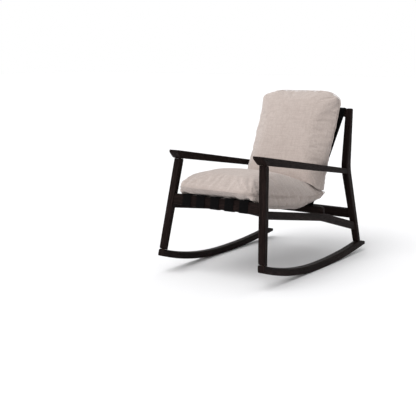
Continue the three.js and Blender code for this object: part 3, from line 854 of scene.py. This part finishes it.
def fill_cover(piece, seam):
    """Remeshes a cover and gives its swollen points. The vertices beside the seam are pinned."""
    use_only(piece)
    remesh = piece.modifiers.new("even", "REMESH")
    remesh.mode = "VOXEL"
    remesh.voxel_size = VOXEL
    remesh.use_smooth_shade = True
    bpy.ops.object.modifier_apply(modifier=remesh.name)
    rest = vertex_array(piece.data)
    beside = distance_to_path(rest, seam) < SEAM_HALF
    group = piece.vertex_groups.new(name="seam")
    group.add(np.nonzero(beside)[0].tolist(), 1.0, "REPLACE")
    cloth = piece.modifiers.new("cloth", "CLOTH")
    for setting, value in CLOTH.items():
        setattr(cloth.settings, setting, value)
    cloth.settings.vertex_group_mass = "seam"
    cloth.settings.effector_weights.gravity = 0.0
    cloth.collision_settings.use_collision = False
    cloth.collision_settings.use_self_collision = False
    cloth.point_cache.frame_start = 1
    cloth.point_cache.frame_end = FRAMES
    for step in range(1, FRAMES + 1):
        bpy.context.scene.frame_set(step)
    bpy.ops.object.modifier_apply(modifier=cloth.name)
    bpy.context.scene.frame_set(1)
    moved = vertex_array(piece.data) - rest
    length = np.linalg.norm(moved, axis=1, keepdims=True)
    limited = rest + moved * SWELL_CAP * np.tanh(length / SWELL_CAP) / np.maximum(length, 1e-9)
    piece.vertex_groups.clear()
    print(piece.name, "swelled by", round(float(length.mean()) * 1000, 1), "mm on average")
    return limited


# %% [markdown]
# Real filling is uneven, and a linen cover shows it: broad soft lumps, short puckers that run away
# from the seam, and a small valley where the two panels are stitched. All three are sums of waves
# with fixed random directions, so every run gives the same cushion.

# %% lumps, puckers and the seam valley
LUMP_HEIGHT, LUMP_LENGTHS = 0.0022, (0.16, 0.34)
PUCKER_HEIGHT, PUCKER_LENGTHS, PUCKER_REACH = 0.0026, (0.030, 0.060), 0.030
VALLEY_DEPTH, VALLEY_WIDTH = 0.0050, 0.006
THREAD_SIDES, THREAD_RADIUS = 8, 0.0016
ASIDE = [0.31, 0.12, 0.94]


def ripples(points, lengths, seed, count=9):
    """A sum of sines over space, between about -1 and 1, with wavelengths within two limits."""
    rng = np.random.default_rng(seed)
    direction = rng.normal(size=(count, 3))
    direction /= np.linalg.norm(direction, axis=1, keepdims=True)
    wavelength = rng.uniform(*lengths, size=count)
    phase = rng.uniform(0, 2 * np.pi, size=count)
    wave = np.sin(points @ (direction * (2 * np.pi / wavelength[:, None])).T + phase)
    return wave.sum(1) / math.sqrt(count)


def vertex_normals(mesh):
    """The mesh's vertex normals as an array."""
    flat = np.zeros(len(mesh.vertices) * 3)
    mesh.vertex_normals.foreach_get("vector", flat)
    return flat.reshape(-1, 3)


def set_vertices(mesh, points):
    """Writes an array of places back into the mesh."""
    mesh.vertices.foreach_set("co", points.ravel())
    mesh.update()


def dress(piece, points, seam, seed):
    """Moves points along their normals by lumps, puckers and the seam's valley."""
    set_vertices(piece.data, points)
    away = distance_to_path(points, seam)
    shape = LUMP_HEIGHT * ripples(points, LUMP_LENGTHS, seed)
    puckers = ripples(points, PUCKER_LENGTHS, seed + 1) * np.exp(-away / PUCKER_REACH)
    shape += PUCKER_HEIGHT * puckers
    shape -= VALLEY_DEPTH * np.exp(-(away / VALLEY_WIDTH) ** 2)
    return points + vertex_normals(piece.data) * shape[:, None]


def thread_along(name, path, radius, material, body):
    """A thin closed tube round a closed path: centre + radius (n cos a + b sin a)."""
    ahead = np.roll(path, -1, 0) - np.roll(path, 1, 0)
    ahead /= np.linalg.norm(ahead, axis=1, keepdims=True)
    side = np.cross(ahead, ASIDE)
    side /= np.linalg.norm(side, axis=1, keepdims=True)
    up = np.cross(side, ahead)
    turn = np.linspace(0, 2 * np.pi, THREAD_SIDES, endpoint=False)
    ring = side[:, None] * np.cos(turn)[None, :, None] + up[:, None] * np.sin(turn)[None, :, None]
    points = (path[:, None] + radius * ring).reshape(-1, 3)
    index = np.arange(len(points)).reshape(-1, THREAD_SIDES)
    piece = mesh_object(name, points, quads_between(index, np.roll(index, -1, 0)), material)
    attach(piece, body)
    return piece


# %% [markdown]
# After filling, each cushion is pressed flat where it rests. The straps behind and below stop it
# between their outer edges, and the two cushions share one dividing surface, the top of the seat,
# which is what draws the long curved line between them.

# %% pressing against the chair
CLEAR = 0.0015
SEAT_SIDE_LIMIT, BACK_SIDE_LIMIT = 0.2265, 0.2165
ARM_TOP, ABOVE_ARM_EXTRA = 0.56, 0.010
ARM_FADE = 0.06
RAIL_FRONT, RAIL_REAR, RAIL_TOP = -0.470, -0.424, 0.3868
BACK_STRAP_Y, BACK_STRAP_Z, BACK_STRAP_SLOPE = 0.1036, 0.2835, 0.735
STRAPS_END_Y = 0.075
BESIDE_STRAPS, FREE_PLACE = 0.09, 1.0
FRONT_RISE, FRONT_FADE = 0.003, (-0.16, 0.02)


def strap_plane(z):
    """Place along Y of the back straps' front face at a height."""
    return BACK_STRAP_Y + BACK_STRAP_SLOPE * (z - BACK_STRAP_Z)


def keep_before_straps(x, y, z):
    """Keeps points in front of the back straps, and lets them pass beyond the outer straps."""
    loose = 1 - between_straps(x)
    room = np.where(loose >= 1.0, FREE_PLACE, BESIDE_STRAPS * loose)
    return np.minimum(y, strap_plane(z) - CLEAR + room)


def press_seat(points):
    """Lifts the seat onto its straps and rail, and keeps it before the back straps and below the
    dividing surface."""
    x, y, z = points.T
    straps = seat_straps(np.minimum(y, STRAPS_END_Y))
    bottom = straps + CLEAR - BESIDE_STRAPS * (1 - between_straps(x))
    over_rail = (y > RAIL_FRONT) & (y < RAIL_REAR)
    z = np.maximum(z, np.where(over_rail, RAIL_TOP + CLEAR, bottom))
    y = keep_before_straps(x, y, z)
    ceiling = seat_top_at(x, y) + FRONT_RISE * (1 - smooth_step(*FRONT_FADE, y)) - CLEAR / 2
    x = np.clip(x, -SEAT_SIDE_LIMIT, SEAT_SIDE_LIMIT)
    return np.stack([x, y, np.minimum(z, ceiling)], 1)


def press_back(points):
    """Lifts the back cushion's foot onto the seat and keeps it off the back straps."""
    x, y, z = points.T
    z = np.maximum(z, seat_top_at(x, y) + CLEAR / 2)
    y = keep_before_straps(x, y, z)
    limit = BACK_SIDE_LIMIT + ABOVE_ARM_EXTRA * smooth_step(ARM_TOP, ARM_TOP + ARM_FADE, z)
    return np.stack([np.clip(x, -limit, limit), y, z], 1)


print("back straps' front face is at y", round(strap_plane(ARM_TOP), 3), "at the arms' height")

# %% [markdown]
# Both cushions are made by one recipe: shape, fill, dress, press, and sew round the middle. The
# seat's pillow and seam are then each given a mesh of their own.

# %% the two cushions
SEAM_PARTS = 5


def give_way(piece):
    """Gives the piece a copy of its own mesh."""
    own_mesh(piece)


def make_cushion(name, node, body, shape, press, lean, seed):
    """Builds, fills, presses and finishes a cushion with its seam, and gives both pieces."""
    grid = shape(SHRINK)
    rings, steps = grid.shape[:2]
    poles = np.concatenate([grid[0, :1], grid[1:-1].reshape(-1, 3), grid[-1, :1]])
    material = linen_material(f"{name}_linen", lean)
    piece = mesh_object(name, poles, closed_faces(rings, steps), material)
    seam_ring = grid[rings // 2 - 1:rings // 2 + 1].mean(0)
    seam = dense_path(seam_ring, SEAM_PARTS)
    points = fill_cover(piece, seam)
    points = press(dress(piece, points, seam, seed))
    set_vertices(piece.data, points)
    piece.data.polygons.foreach_set("use_smooth", np.ones(len(piece.data.polygons), bool))
    subdivide = piece.modifiers.new("smooth", "SUBSURF")
    subdivide.levels = 1
    subdivide.render_levels = 1
    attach(piece, body)
    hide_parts(node)
    seam_thread = thread_along(f"{name}_seam", press(seam_ring), THREAD_RADIUS, material, body)
    print(name, len(points), "points, box", points.min(0).round(3), points.max(0).round(3))
    return piece, seam_thread


for part in make_cushion("seat_pillow", "seat_cushion", "seat_cushion", seat_points, press_seat,
                         lean=-math.atan(SEAT_STRAP_SLOPE), seed=11):
    give_way(part)
make_cushion("back_pillow", "back_cushion", "back_cushion", back_points, press_back,
             lean=math.atan(BACK_LEAN), seed=23)
